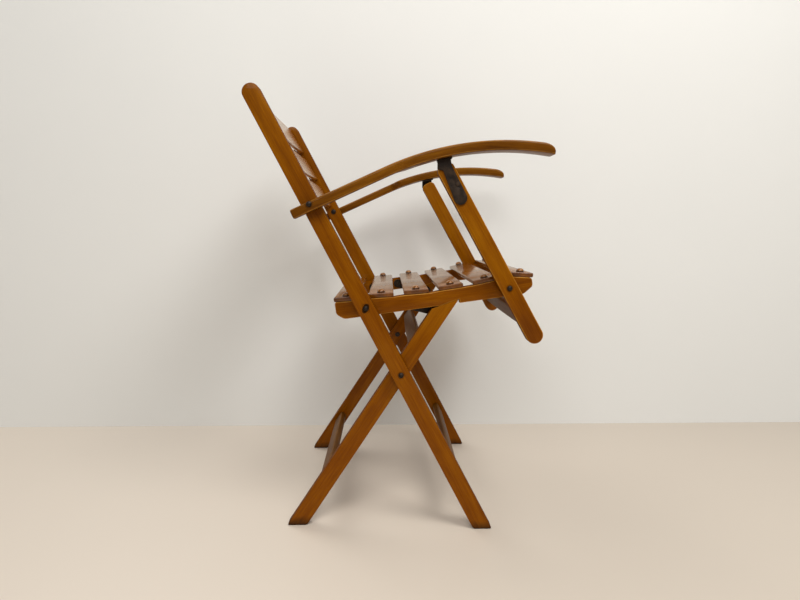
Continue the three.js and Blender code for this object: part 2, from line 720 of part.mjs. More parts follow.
function armAssembly(side, label) {
  const group = new THREE.Group();
  group.position.set(armPivot.x, armPivot.y, 0);
  const own = (geometry) => (side > 0 ? geometry : mirrored(geometry));
  const screwLine = halfFrame + armPostThickness + seatGap + plateThickness - flangeWidth / 2;
  const outerFace = postOuter + seatGap + armRearWidth;
  const screwLength = 2 * (screwDepth + plateThickness + shankPlay);
  const cutters = [
    pegAlongZ(rivetRadius + shankPlay, 0, 0, postOuter - cutOverrun, outerFace + cutOverrun),
    ...[-1, 1].map((end) => screwHole(end, screwRadius + shankPlay, screwLength).translate(0, 0, screwLine)),
  ];
  piece(`armrest_${label}`, own(cutAway(armrestGeometry(), cutters)), wood, group);
  piece(`arm_bracket_${label}`, own(bracketGeometry()), darkIron, group);
  const pin = turned({
    headRadius: pinHeadRadius, headHeight: pinHeadHeight, shankRadius: pinRadius,
    length: plateThickness + 2 * seatGap + pinDepth,
  }).rotateX(Math.PI / 2);
  const pinPiece = piece(`bracket_pin_${label}`, pin, darkIron, group);
  pinPiece.position.set(bracketPin.x, bracketPin.y,
    side * (halfFrame + armPostThickness + 2 * seatGap + plateThickness));
  pinPiece.rotation.x = side > 0 ? 0 : Math.PI;
  [[-1, 'rear'], [1, 'front']].forEach(([end, place]) => {
    const geometry = turned({
      headRadius: screwHeadRadius, headHeight: screwHeadHeight, shankRadius: screwRadius,
      length: plateThickness + screwDepth,
    }).rotateX(Math.PI);
    const screw = piece(`bracket_screw_${label}_${place}`, geometry, darkIron, group);
    const head = onFlange(flangeForward + end * screwSpacing / 2, flangeTop - plateThickness - seatGap);
    screw.position.set(head.x, head.y, side * screwLine);
    screw.rotation.z = -flangeAngle;
  });
  return group;
}

// Folding link: rides on the rail's inner face and meets the leg's inner face
function foldLink(side, label) {
  const group = new THREE.Group();
  const onRail = new THREE.Vector2(linkSeatReach, -linkSeatDrop)
    .rotateAround(new THREE.Vector2(), rad(seatTilt)).add(seatPivot);
  const onLeg = crossPivot.clone().addScaledVector(upLeg, linkLegReach);
  const reach = onLeg.clone().sub(onRail);
  const length = reach.length();
  group.position.set(onRail.x, onRail.y, 0);
  group.rotation.z = reach.angle();
  const face = Math.min(railMiddle - railThickness / 2, legMiddle - legThickness / 2);
  const outline = stadium(length + linkWidth, linkWidth);
  pivotHole(outline, -length / 2, 0);
  pivotHole(outline, length / 2, 0);
  const strap = board(outline, linkThickness, side * (face - seatGap - linkThickness / 2))
    .translate(length / 2, 0, 0);
  piece(`fold_link_${label}`, strap, darkIron, group);
  const geometry = turned({
    headRadius: rivetHeadRadius, headHeight: rivetHeadHeight, shankRadius: rivetRadius,
    length: linkThickness + seatGap,
  }).rotateX(-Math.PI / 2);
  const rivet = piece(`link_leg_rivet_${label}`, geometry, darkIron, group);
  rivet.position.set(length, 0, side * (face - linkThickness - 2 * seatGap));
  rivet.rotation.x = side > 0 ? 0 : Math.PI;
  return group;
}

// The whole chair, turned from the side frame to its own, its footprint centred on the origin
const sideFrame = new THREE.Group();
sideFrame.rotation.x = Math.PI / 2;
sideFrame.add(backFrame(), seat(), rearLegs(), armPosts());
for (const [side, label] of sides) {
  sideFrame.add(armAssembly(side, label), foldLink(side, label));
}
const facing = new THREE.Group();
facing.rotation.z = -Math.PI / 2;
facing.add(sideFrame);
facing.updateMatrixWorld(true);
const extent = new THREE.Box3().setFromObject(facing, true);
facing.position.y = -(extent.min.y + extent.max.y) / 2;

const group = new THREE.Group();
group.add(facing);
export default group;
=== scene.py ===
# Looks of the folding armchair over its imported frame, in metres, with sizes below in millimetres.
import json
import math
import random

import bmesh
import bpy
from mathutils import Matrix, Vector


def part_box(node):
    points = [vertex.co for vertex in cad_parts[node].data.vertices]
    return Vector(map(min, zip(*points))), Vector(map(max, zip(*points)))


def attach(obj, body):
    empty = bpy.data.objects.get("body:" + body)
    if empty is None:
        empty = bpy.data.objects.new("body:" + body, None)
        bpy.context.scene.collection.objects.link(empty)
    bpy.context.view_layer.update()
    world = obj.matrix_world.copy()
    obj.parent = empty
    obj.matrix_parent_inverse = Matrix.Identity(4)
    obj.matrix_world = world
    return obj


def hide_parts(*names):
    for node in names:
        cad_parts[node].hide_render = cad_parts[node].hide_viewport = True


MM = 0.001
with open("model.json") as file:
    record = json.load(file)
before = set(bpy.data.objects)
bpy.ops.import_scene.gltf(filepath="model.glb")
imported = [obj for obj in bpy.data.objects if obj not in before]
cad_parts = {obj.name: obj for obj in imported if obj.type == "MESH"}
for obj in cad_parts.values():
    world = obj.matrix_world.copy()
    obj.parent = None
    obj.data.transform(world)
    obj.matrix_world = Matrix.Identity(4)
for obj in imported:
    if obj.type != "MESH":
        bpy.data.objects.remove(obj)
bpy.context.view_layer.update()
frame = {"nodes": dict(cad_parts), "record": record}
nodes = frame["nodes"]
record = frame["record"]
body_of = {node: body for body, names in record["behaviour"]["bodies"].items() for node in names}

# Main sizes in millimetres and degrees, the same as in the solids
FRAME_WIDTH = 412           # between the inner faces of the back posts
HALF_FRAME = FRAME_WIDTH / 2
BOARD_THICKNESS = 20        # posts, legs and rails
SEAT_GAP = 0.3              # between pieces that touch
CROSS_HEIGHT = 285          # pivot where back posts and rear legs cross
BACK_LEAN = 27.4            # from upright, back posts
LEG_LEAN = 33.4             # from upright, rear legs
CROSS_TO_SEAT = 133         # along the back post, cross pivot to seat pivot
SEAT_TO_ARM = 200           # along the back post, seat pivot to arm pivot
SEAT_REACH = 251.5          # seat pivot to the pivot of the arm posts
SEAT_TILT = 7.9             # seat rails rise to the front
ARM_POST_LEAN = 29          # from upright

# Camera of the photograph, in metres, on the side of the sitter's right hand
cross_low, cross_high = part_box("cross_pivot_right")
CROSS_Y = (cross_low.y + cross_high.y) / 2
CAMERA_SIDE = -1.2545
CAMERA_BEHIND = 0.022       # behind the cross pivot
CAMERA_HEIGHT = 0.5399
CAMERA_YAW = math.radians(1.1218)
CAMERA_PITCH = math.radians(6.7618)
SENSOR_WIDTH = 36
FOCAL_LENGTH = 27


def make_camera():
    data = bpy.data.cameras.new("camera")
    data.sensor_width = SENSOR_WIDTH
    data.lens = FOCAL_LENGTH
    data.clip_start = 0.05
    data.clip_end = 60
    camera = bpy.data.objects.new("camera", data)
    camera.location = (CAMERA_SIDE, CROSS_Y + CAMERA_BEHIND, CAMERA_HEIGHT)
    level = math.cos(CAMERA_PITCH)
    forward = Vector((
        math.cos(CAMERA_YAW) * level, -math.sin(CAMERA_YAW) * level, -math.sin(CAMERA_PITCH),
    ))
    camera.rotation_mode = "QUATERNION"
    camera.rotation_quaternion = forward.to_track_quat("-Z", "Y")
    bpy.context.scene.collection.objects.link(camera)
    bpy.context.scene.camera = camera
    return camera


# The side view
class Lean:
    """Forward and up in millimetres, measured from a pivot and along a leaning piece.

    Across the chair, z runs from the middle plane towards the sitter's right hand."""
    def __init__(self, origin, degrees):
        self.origin = Vector(origin)
        self.turn = Matrix.Rotation(math.radians(degrees), 2)

    def at(self, a, b):
        return self.origin + self.turn @ Vector((a, b))

    def world(self, a, b, z):
        forward, up = self.at(a, b)
        return Vector((-z * MM, CROSS_Y - forward * MM, up * MM))

    def local(self, point):
        flat = Vector(((CROSS_Y - point.y) / MM, point.z / MM))
        a, b = self.turn.transposed() @ (flat - self.origin)
        return Vector((a, b, -point.x / MM))


BACK = Lean((0, CROSS_HEIGHT), BACK_LEAN)
LEGS = Lean((0, CROSS_HEIGHT), -LEG_LEAN)
SEAT = Lean(BACK.at(0, CROSS_TO_SEAT), SEAT_TILT)
POSTS = Lean(SEAT.at(SEAT_REACH, 0), ARM_POST_LEAN)
ARMS = Lean(BACK.at(0, CROSS_TO_SEAT + SEAT_TO_ARM), 0)
SIDES = ((1, "right"), (-1, "left"))


# Node graphs
class Graph:
    def __init__(self, name):
        self.material = bpy.data.materials.new(name)
        self.material.use_nodes = True
        self.tree = self.material.node_tree
        self.tree.nodes.clear()
        self.output = self.tree.nodes.new("ShaderNodeOutputMaterial")

    def put(self, socket, value):
        if isinstance(value, bpy.types.NodeSocket):
            self.tree.links.new(value, socket)
        else:
            socket.default_value = value

    def add(self, kind, inputs=None, **settings):
        node = self.tree.nodes.new("ShaderNode" + kind)
        for key, value in settings.items():
            setattr(node, key, value)
        for key, value in (inputs or {}).items():
            self.put(node.inputs[key], value)
        return node

    def attribute(self, name, output="Vector"):
        return self.add("Attribute", attribute_name=name).outputs[output]

    def math(self, operation, a, b):
        return self.add("Math", {0: a, 1: b}, operation=operation).outputs[0]

    def range(self, value, low, high, to_low=0.0, to_high=1.0):
        inputs = {"Value": value, "From Min": low, "From Max": high, "To Min": to_low, "To Max": to_high}
        return self.add("MapRange", inputs).outputs["Result"]

    def scaled(self, vector, scale):
        return self.add("VectorMath", {0: vector, 1: scale}, operation="MULTIPLY").outputs[0]

    def noise(self, vector, scale, detail, roughness, distortion=0.0):
        inputs = {
            "Vector": self.scaled(vector, scale), "Scale": 1.0, "Detail": detail,
            "Roughness": roughness, "Distortion": distortion,
        }
        return self.add("TexNoise", inputs).outputs["Fac"]

    def mix(self, factor, a, b, blend="MIX"):
        node = self.add("Mix", data_type="RGBA", blend_type=blend)
        self.put(node.inputs[0], factor)
        self.put(node.inputs[6], a)
        self.put(node.inputs[7], b)
        return node.outputs[2]

    def ramp(self, value, stops):
        node = self.add("ValToRGB", {"Fac": value})
        elements = node.color_ramp.elements
        while len(elements) < len(stops):
            elements.new(0.5)
        for element, (place, color) in zip(elements, stops):
            element.position = place
            element.color = color
        return node.outputs["Color"]

    def finish(self, shader):
        self.tree.links.new(shader, self.output.inputs["Surface"])
        return self.material


def linear(red, green, blue):
    def one(value):
        share = value / 255
        return share / 12.92 if share <= 0.04045 else ((share + 0.055) / 1.055) ** 2.4
    return (one(red), one(green), one(blue), 1.0)


# Dark rings on the wood round the pivots, painted shade in the oval recess at the seat pivot, and dents in
# the straps
def mark_place(lean, along_piece, ahead=0):
    point = lean.world(ahead, along_piece, 0)
    return (0.0, point.y, point.z)


RING = (7.5, 7.5)           # reach across and along the post
RING_FADE = (0.6, 0.45)     # share of the reach where the ring starts to fade, and its strength
# Painted shade: the oval recess round the seat pivot is darkened as if shaded
RECESS_SHADE = (5.6, 9.2)
RECESS_SHADE_FADE = (0.9, 0.92)
PIVOT_RINGS_AND_RECESS_SHADE = (
    (mark_place(BACK, CROSS_TO_SEAT), BACK_LEAN, RECESS_SHADE, RECESS_SHADE_FADE),
    (mark_place(BACK, 0), BACK_LEAN, RING, RING_FADE),
    (mark_place(BACK, CROSS_TO_SEAT + SEAT_TO_ARM), BACK_LEAN, RING, RING_FADE),
    (mark_place(POSTS, 0), ARM_POST_LEAN, RING, RING_FADE),
)
STRAP_DENTS = (             # place, and radius in millimetres
    (mark_place(POSTS, 214.5, -1.2), 2.3),
    (mark_place(POSTS, 194, 5), 2.0),
    (mark_place(POSTS, 202.6, -5.7), 1.4),
)


def wood_material(name, dark, middle, light, worn, gloss, rough, coat_rough, sheen=0.3,
                  narrow_shade=None, lower_shade=None):
    """Varnished wood: the grain runs along the first axis of the grain attribute.

    The narrow faces of the frame lean to the colour narrow_shade, a painted shade, and shine less, and its
    lower parts darken towards lower_shade, a painted shade of light falling from above."""
    g = Graph(name)
    seed = g.attribute("seed", "Fac")
    offset = g.add("CombineXYZ", {"X": g.math("MULTIPLY", seed, 3.7), "Y": g.math("MULTIPLY", seed, 9.1),
                                  "Z": g.math("MULTIPLY", seed, 5.3)}).outputs[0]
    grain = g.add("VectorMath", {0: g.attribute("grain"), 1: offset}, operation="ADD").outputs[0]
    bands = g.noise(grain, (5, 70, 45), 4, 0.6, 0.6)
    fine = g.noise(grain, (24, 700, 460), 3, 0.6)
    cloud = g.noise(grain, (7, 14, 11), 3, 0.55)
    flecks = g.noise(grain, (240, 1700, 1300), 1, 0.5)
    tone = g.math("ADD", g.math("MULTIPLY", bands, 0.34), g.math("MULTIPLY", cloud, 0.36))
    tone = g.math("ADD", tone, g.math("MULTIPLY", fine, 0.3))
    color = g.ramp(tone, [(0.34, dark), (0.5, middle), (0.66, light)])
    fleck_share = g.range(flecks, 0.63, 0.76, 0.0, 0.3)
    color = g.mix(fleck_share, color, dark)
    pore = g.noise(grain, (60, 2400, 2000), 2, 0.6)
    color = g.mix(g.range(pore, 0.6, 0.72, 0.0, 0.22), color, dark)

    rest = g.attribute("rest")
    height_up = g.add("SeparateXYZ", {0: rest}).outputs["Z"]
    # Painted shade: the frame darkens towards the floor, as if lit from above
    if lower_shade:
        drift = g.math("ADD", height_up, g.math("MULTIPLY", cloud, 0.5))
        color = g.mix(g.range(drift, 0.35, 1.05, 0.8, 0.0), color, lower_shade, "MULTIPLY")
    # Painted shade: the narrow faces of the boards turn darker and redder, as faces turned from the light
    if narrow_shade:
        narrow_share = g.range(g.attribute("flat", "Fac"), 0.45, 0.75, 1.0, 0.0)
        color = g.mix(g.math("MULTIPLY", narrow_share, 0.5), color, narrow_shade)

    # The edges take the colour worn: real wear, and on the frame boards also a painted highlight along the
    # arrises
    edge = g.attribute("edge", "Fac")
    rub = g.noise(grain, (30, 70, 70), 4, 0.65)
    edge_wear_and_highlight = g.math("MULTIPLY", edge, g.range(rub, 0.36, 0.62, 0.25, 1.0))
    color = g.mix(edge_wear_and_highlight, color, worn)
    scuffed = g.math("MULTIPLY", edge, g.range(height_up, 0.03, 0.11, 0.85, 0.0))
    color = g.mix(scuffed, color, linear(72, 54, 36))

    stain = g.noise(rest, (46, 46, 46), 3, 0.6)
    color = g.mix(g.range(stain, 0.66, 0.78, 0.0, 0.28), color, dark)
    # Darker rings round the pivots, and painted shade in the recess at the seat pivot
    for pivot, lean, (across, up), (start, strength) in PIVOT_RINGS_AND_RECESS_SHADE:
        away = g.add("VectorMath", {0: rest, 1: pivot}, operation="SUBTRACT").outputs[0]
        upright = {"Vector": away, "Angle": -math.radians(lean)}
        away = g.add("VectorRotate", upright, rotation_type="X_AXIS").outputs[0]
        shares = g.scaled(away, (0, 1 / (across * MM), 1 / (up * MM)))
        far = g.add("VectorMath", {0: shares}, operation="LENGTH").outputs["Value"]
        color = g.mix(g.range(far, start, 1.04, strength, 0.0), color, linear(30, 16, 6))
    rim = g.math("ADD", height_up, g.math("MULTIPLY", rub, 0.016))
    foot = g.range(rim, 0.008, 0.024, 0.9, 0.0)
    color = g.mix(foot, color, linear(36, 22, 10))

    rough = g.range(cloud, 0.3, 0.7, rough, rough + 0.12)
    rough = g.math("ADD", rough, g.math("MULTIPLY", edge_wear_and_highlight, 0.1))
    rough = g.math("ADD", rough, g.math("MULTIPLY", foot, 0.3))
    ripple = g.noise(grain, (5, 26, 26), 2, 0.5)
    height = g.math("ADD", g.math("MULTIPLY", fine, 0.3), ripple)
    height = g.math("SUBTRACT", height, g.math("MULTIPLY", fleck_share, 0.2))
    bump = g.add("Bump", {"Height": height, "Strength": 0.2, "Distance": 0.0005}).outputs[0]
    if narrow_shade:
        shine = g.math("SUBTRACT", 1.0, g.math("MULTIPLY", narrow_share, 0.95))
        sheen = g.math("MULTIPLY", shine, sheen)
        gloss = g.math("MULTIPLY", shine, gloss)
    shader = g.add("BsdfPrincipled", {
        "Base Color": color, "Roughness": rough, "IOR": 1.45, "Specular IOR Level": sheen,
        "Specular Tint": linear(255, 196, 120), "Coat Weight": gloss, "Coat Roughness": coat_rough,
        "Coat IOR": 1.5, "Coat Tint": linear(255, 236, 190), "Normal": bump,
    })
    return g.finish(shader.outputs[0])


def iron_material(name, dark, brown, roughness, dents=()):
    """Dark iron with brown patches, and round dents of (place, radius)."""
    g = Graph(name)
    rest = g.attribute("rest")
    cloud = g.noise(rest, (90, 90, 90), 4, 0.6)
    grit = g.noise(rest, (1100, 1100, 1100), 2, 0.6)
    patina = g.range(cloud, 0.42, 0.68)
    color = g.mix(patina, dark, brown)
    color = g.mix(g.range(grit, 0.6, 0.75, 0.0, 0.4), color, linear(92, 70, 52))
    rough = g.math("ADD", g.range(cloud, 0.3, 0.7, roughness - 0.08, roughness + 0.14),
                   g.math("MULTIPLY", grit, 0.06))
    height = g.math("ADD", cloud, g.math("MULTIPLY", grit, 0.4))
    for place, radius in dents:
        away = g.add("VectorMath", {0: rest, 1: place}, operation="SUBTRACT").outputs[0]
        far = g.add("VectorMath", {0: g.scaled(away, (0, 1, 1))}, operation="LENGTH").outputs["Value"]
        dent = g.range(far, radius * 0.55 * MM, radius * MM, 1.0, 0.0)
        color = g.mix(g.math("MULTIPLY", dent, 0.8), color, linear(12, 8, 6))
        height = g.math("SUBTRACT", height, g.math("MULTIPLY", dent, 2.0))
    bump = g.add("Bump", {"Height": height, "Strength": 0.25, "Distance": 0.0004}).outputs[0]
    shader = g.add("BsdfPrincipled", {
        "Base Color": color, "Metallic": 0.55, "Roughness": rough, "Normal": bump,
    })
    return g.finish(shader.outputs[0])


def button_material():
    """Lacquered domes of the nails, with painted shade darkening them round the rim."""
    g = Graph("button_brown")
    rest = g.attribute("rest")
    rim = g.attribute("edge", "Fac")
    cloud = g.noise(rest, (150, 150, 150), 3, 0.6)
    speck = g.noise(rest, (900, 900, 900), 2, 0.5)
    color = g.ramp(cloud, [
        (0.35, linear(112, 62, 10)), (0.52, linear(142, 88, 20)), (0.7, linear(168, 112, 34)),
    ])
    # Painted shade round the lower rim of each dome
    color = g.mix(g.math("MULTIPLY", rim, 0.9), color, linear(48, 24, 6))
    color = g.mix(g.range(speck, 0.62, 0.72, 0.0, 0.5), color, linear(44, 22, 10))
    rough = g.range(cloud, 0.3, 0.7, 0.22, 0.36)
    bump = g.add("Bump", {"Height": speck, "Strength": 0.12, "Distance": 0.0003}).outputs[0]
    shader = g.add("BsdfPrincipled", {
        "Base Color": color, "Roughness": rough, "Metallic": 0.1, "Coat Weight": 0.25,
        "Coat Roughness": 0.18, "Normal": bump,
    })
    return g.finish(shader.outputs[0])


WOOD = wood_material(
    "varnished_wood", dark=linear(98, 50, 0), middle=linear(126, 72, 0), light=linear(150, 94, 2),
    worn=linear(196, 140, 52), gloss=0.14, rough=0.36, coat_rough=0.1, sheen=0.12,
    narrow_shade=linear(98, 46, 2), lower_shade=linear(246, 226, 200),
)
ARM_WOOD = wood_material(
    "varnished_wood_brown", dark=linear(72, 36, 2), middle=linear(104, 60, 4), light=linear(132, 84, 12),
    worn=linear(176, 124, 48), gloss=0.16, rough=0.36, coat_rough=0.1, sheen=0.12,
)
SLAT_WOOD = wood_material(
    "varnished_wood_seat", dark=linear(94, 48, 0), middle=linear(118, 70, 2), light=linear(142, 90, 8),
    worn=linear(80, 44, 8), gloss=1.0, rough=0.3, coat_rough=0.18,
)
# Back slats: a paler, greyer base than the frame wood, as a painted reflection of the pale wall at a
# grazing view
BACK_SLAT_SHEEN_WOOD = wood_material(
    "varnished_wood_back", dark=linear(118, 70, 20), middle=linear(146, 97, 40), light=linear(170, 121, 60),
    worn=linear(136, 84, 22), gloss=1.0, rough=0.32, coat_rough=0.2,
)
# Stretchers: darker and duller than the frame wood, a painted shade for the pieces low in the frame
STRETCHER_SHADE_WOOD = wood_material(
    "varnished_wood_dark", dark=linear(68, 37, 4), middle=linear(92, 54, 9), light=linear(116, 75, 20),
    worn=linear(134, 92, 38), gloss=0.14, rough=0.48, coat_rough=0.3, sheen=0.1,
)
IRON = iron_material("dark_iron", linear(26, 19, 13), linear(56, 42, 30), 0.34)
STRAP_IRON = iron_material("strap_iron", linear(34, 23, 14), linear(60, 44, 29), 0.5, STRAP_DENTS)
BUTTON = button_material()


# Meshes
def stamp(mesh, seed, grain, edges=None, boards=False):
    """The attributes that the materials read: place at rest, grain, seed, edges for wear, painted highlight
    and painted shade, and flat sides.
    """
    def store(name, kind, field, values):
        attribute = mesh.attributes.new(name, kind, "POINT")
        attribute.data.foreach_set(field, values)
    points = [vertex.co.copy() for vertex in mesh.vertices]
    store("rest", "FLOAT_VECTOR", "vector", [x for co in points for x in co])
    store("grain", "FLOAT_VECTOR", "vector", [x for co in points for x in grain(co)])
    store("seed", "FLOAT", "value", [seed] * len(points))
    flat = mesh.attributes.new("flat", "FLOAT", "FACE")
    flat.data.foreach_set("value", [abs(polygon.normal.x) if boards else 1.0 for polygon in mesh.polygons])
    store("edge", "FLOAT", "value", edges or [0.0] * len(points))


def seed_of(name):
    return random.Random(name).random()


def show(name, mesh, node, material):
    piece = bpy.data.objects.new(name, mesh)
    bpy.context.scene.collection.objects.link(piece)
    mesh.materials.clear()
    mesh.materials.append(material)
    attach(piece, body_of[node])
    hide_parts(node)
    return piece


def smooth(mesh, degrees=35):
    for polygon in mesh.polygons:
        polygon.use_smooth = True
    limit = math.radians(degrees)
    work = bmesh.new()
    work.from_mesh(mesh)
    for edge in work.edges:
        edge.smooth = len(edge.link_faces) == 2 and edge.calc_face_angle(0) < limit
    work.to_mesh(mesh)
    work.free()


def clean_copy(node):
    work = bmesh.new()
    work.from_mesh(nodes[node].data)
    bmesh.ops.remove_doubles(work, verts=work.verts, dist=1e-6)
    return work


def flat_copy(node):
    """A copy of a solid with the triangles of each flat face joined into one."""
    work = clean_copy(node)
    bmesh.ops.dissolve_limit(work, angle_limit=math.radians(1.0), verts=work.verts, edges=work.edges)
    work.normal_update()
    return work


def rounded(work, edges, radius, steps):
    """Rounds the edges by a radius in millimetres and gives the faces that this makes."""
    made = bmesh.ops.bevel(work, geom=edges, offset=radius * MM, offset_type="OFFSET", segments=steps,
                           profile=0.5, affect="EDGES", clamp_overlap=True)
    work.normal_update()
    return set(made["faces"])


def mesh_of(work, name):
    mesh = bpy.data.meshes.new(name)
    work.to_mesh(mesh)
    work.free()
    return mesh


def cut_mesh_of(work, name):
    """The same with the faces of more than four corners cut into triangles."""
    bmesh.ops.triangulate(work, faces=[face for face in work.faces if len(face.verts) > 4])
    return mesh_of(work, name)


def rubbed_corners(work, rubbed):
    """The edges straight across a board where rubbed says that the corner is worn round."""
    found = []
    for edge in work.edges:
        first, second = (vertex.co for vertex in edge.verts)
        straight = abs((first - second).normalized().x) > 0.99 and edge.calc_length() > 0.015
        sharp = len(edge.link_faces) == 2 and edge.calc_face_angle(0) > math.radians(15)
        if straight and sharp and rubbed(first, second):
            found.append(edge)
    return found


def loops_of(edges):
    """The edges sorted into sets that hang together."""
    left = set(edges)
    loops = []
    while left:
        queue = [left.pop()]
        loop = set()
        while queue:
            edge = queue.pop()
            loop.add(edge)
            for vertex in edge.verts:
                for other in vertex.link_edges:
                    if other in left:
                        left.discard(other)
                        queue.append(other)
        loops.append(loop)
    return loops


def outline(work, level):
    """The long outer loop round one side of a board, level 1 for the side on +X and -1 for -X."""
    rim = []
    for edge in work.edges:
        sides = [face.normal.x * level for face in edge.link_faces]
        if len(sides) == 2 and max(sides) > 0.99 and abs(min(sides)) < 0.1:
            rim.append(edge)
    reach = max(vertex.co.x * level for edge in rim for vertex in edge.verts)
    rim = [edge for edge in rim if all(abs(vertex.co.x * level - reach) < 1e-5 for vertex in edge.verts)]

    def spread(loop):
        points = [vertex.co for edge in loop for vertex in edge.verts]
        return sum(max(point[k] for point in points) - min(point[k] for point in points) for k in (1, 2))
    return max(loops_of(rim), key=spread)


def bevelled(node, material, grain, radius, rubbed=None):
    """A board of the frame with its outer long edges rounded, and the rubbed corners of its ends."""
    work = flat_copy(node)
    if rubbed:
        rounded(work, rubbed_corners(work, rubbed), RUBBED_CORNER, 4)
    arrises = [edge for level in (1, -1) for edge in outline(work, level)]
    fresh = rounded(work, arrises, radius, 3)
    edges = [1.0 if all(face in fresh for face in vertex.link_faces) else 0.0 for vertex in work.verts]
    mesh = cut_mesh_of(work, node)
    stamp(mesh, seed_of(node), grain, edges, boards=True)
    smooth(mesh)
    return show(f"{node}_board", mesh, node, material)


def turned(node, material):
    """A screw of the frame with its turned faces made round."""
    work = clean_copy(node)
    bmesh.ops.join_triangles(work, faces=work.faces, angle_face_threshold=math.radians(12),
                             angle_shape_threshold=math.radians(60))
    crease = work.edges.layers.float.new("crease_edge")
    for edge in work.edges:
        if len(edge.link_faces) == 2 and edge.calc_face_angle(0) > math.radians(50):
            edge[crease] = 1.0
    holder = bpy.data.objects.new("holder", mesh_of(work, node))
    bpy.context.scene.collection.objects.link(holder)
    holder.modifiers.new("round", "SUBSURF").levels = 2
    made = bpy.data.meshes.new_from_object(holder.evaluated_get(bpy.context.evaluated_depsgraph_get()))
    bpy.data.objects.remove(holder)
    stamp(made, seed_of(node), lambda co: co)
    smooth(made, 40)
    return show(f"{node}_turned", made, node, material)


def plate(node, material):
    """A steel plate of the frame with its sharp edges broken."""
    work = flat_copy(node)
    sharp = [edge for edge in work.edges
             if len(edge.link_faces) == 2 and edge.calc_face_angle(0) > math.radians(60)]
    rounded(work, sharp, PLATE_EDGE, 2)
    mesh = cut_mesh_of(work, node)
    stamp(mesh, seed_of(node), lambda co: co)
    smooth(mesh)
    return show(f"{node}_plate", mesh, node, material)


SECTION_STEPS = 4           # in each rounded corner


def section(width, height, radius):
    """A rounded rectangle as points (across, up, worn), worn only in the middle of each corner."""
    corner = min(radius, width / 2, height / 2)
    points = []
    for quarter, (right, up) in enumerate([(1, 1), (-1, 1), (-1, -1), (1, -1)]):
        for step in range(SECTION_STEPS + 1):
            angle = (quarter + step / SECTION_STEPS) * math.pi / 2
            worn = 1.0 if 2 * step == SECTION_STEPS else 0.0
            points.append((right * (width / 2 - corner) + corner * math.cos(angle),
                           up * (height / 2 - corner) + corner * math.sin(angle), worn))
    return points


def lofted(node, material, rings, world, kind):
    """A closed skin over rings of points, each (forward, up, across, worn) in a leaning piece's frame.

    Where the grain doesn't run across the chair, its own three coordinates follow."""
    work = bmesh.new()
    made = [[work.verts.new(world(*point[:3])) for point in ring] for ring in rings]
    count = len(made[0])
    for low, high in zip(made, made[1:]):
        for k in range(count):
            after = (k + 1) % count
            work.faces.new((low[k], low[after], high[after], high[k]))
    work.faces.new(list(reversed(made[0])))
    work.faces.new(made[-1])
    bmesh.ops.recalc_face_normals(work, faces=work.faces)
    mesh = mesh_of(work, node)
    points = [point for ring in rings for point in ring]
    flow = {}
    for vertex, (forward, up, across, _, *grain) in zip(mesh.vertices, points):
        flow[tuple(vertex.co)] = Vector(grain or (across, forward, up)) * MM
    stamp(mesh, seed_of(node), lambda co: flow[tuple(co)], [point[3] for point in points])
    smooth(mesh, 50)
    return show(f"{node}_{kind}", mesh, node, material)


# Wooden pieces that stand or slope: how round their long edges and rubbed corners are
BACK_POST_EDGE = 1.8
LEG_EDGE = 1.6
ARM_POST_EDGE = 2.2
RAIL_EDGE = 1.4
RUBBED_CORNER = 4
RUBBED_BELOW = 20           # above the floor, corners of the feet
RUBBED_BEHIND = -35         # along the rail, corners of its ends
RUBBED_AHEAD = 265


def along(lean, axis):
    def grain(co):
        a, b, z = lean.local(co)
        return Vector((b, a, z) if axis == "up" else (a, b, z)) * MM
    return grain


def on_foot(first, second):
    return max(first.z, second.z) < RUBBED_BELOW * MM


def on_rail_end(first, second):
    along_rail = SEAT.local((first + second) / 2).x
    return along_rail < RUBBED_BEHIND or along_rail > RUBBED_AHEAD


def make_boards():
    for _, side in SIDES:
        bevelled(f"back_post_{side}", WOOD, along(BACK, "up"), BACK_POST_EDGE, on_foot)
        bevelled(f"rear_leg_{side}", WOOD, along(LEGS, "up"), LEG_EDGE, on_foot)
        bevelled(f"arm_post_{side}", WOOD, along(POSTS, "up"), ARM_POST_EDGE)
        bevelled(f"seat_rail_{side}", WOOD, along(SEAT, "along"), RAIL_EDGE, on_rail_end)


# Slats and stretchers between the sides
END_PLAY = 0.05             # between a batten's end and the side that it meets
BATTEN_STEPS = 16
BACK_POST_ABOVE = 555       # cross pivot to the top of the back post
BACK_SLAT_HEIGHTS = {"top": 62, "middle": 52, "bottom": 52}
BACK_SLAT_THICKNESS = 9
BACK_SLAT_TOP = 6           # top of the post to the top slat
BACK_SLAT_GAP = 18
BACK_SLAT_SETBACK = 2.2     # behind the middle of the post
BACK_SLAT_EDGE = 3
BACK_SLAT_BOW = 3.5         # how far the middle lies behind the ends
BACK_SLAT_CROWN = 7         # and how much higher the upper edge is there
BACK_SLAT_TILT = 3          # degrees, leaning back from the post
STRETCHER_EDGE = 5
LEG_BEHIND = 2              # cross pivot to the middle line of a leg
LEG_INSET = BOARD_THICKNESS + SEAT_GAP      # inner face of a leg to that of the back post


def batten(node, lean, material, place, height, thickness, edge, belly=0.0, crown=0.0, bow=0.0, tilt=0.0,
           inside=0.0):
    """A flat strip across the chair, swelling by belly on both edges or by crown on the upper one.

    It ends inside the line of the back posts, and in the middle it bends backwards by bow."""
    x, y = place
    half = HALF_FRAME - inside - END_PLAY
    turn = Matrix.Rotation(math.radians(tilt), 2)
    rings = []
    for k in range(BATTEN_STEPS + 1):
        share = 2 * k / BATTEN_STEPS - 1
        swell = 1 - share * share
        ring = []
        for across, up, worn in section(thickness, height + (belly + crown) * swell, edge):
            a, b = turn @ Vector((across, up + crown * swell / 2))
            ring.append((x - bow * swell + a, y + b, share * half, worn))
        rings.append(ring)
    return lofted(node, material, rings, lean.world, "batten")


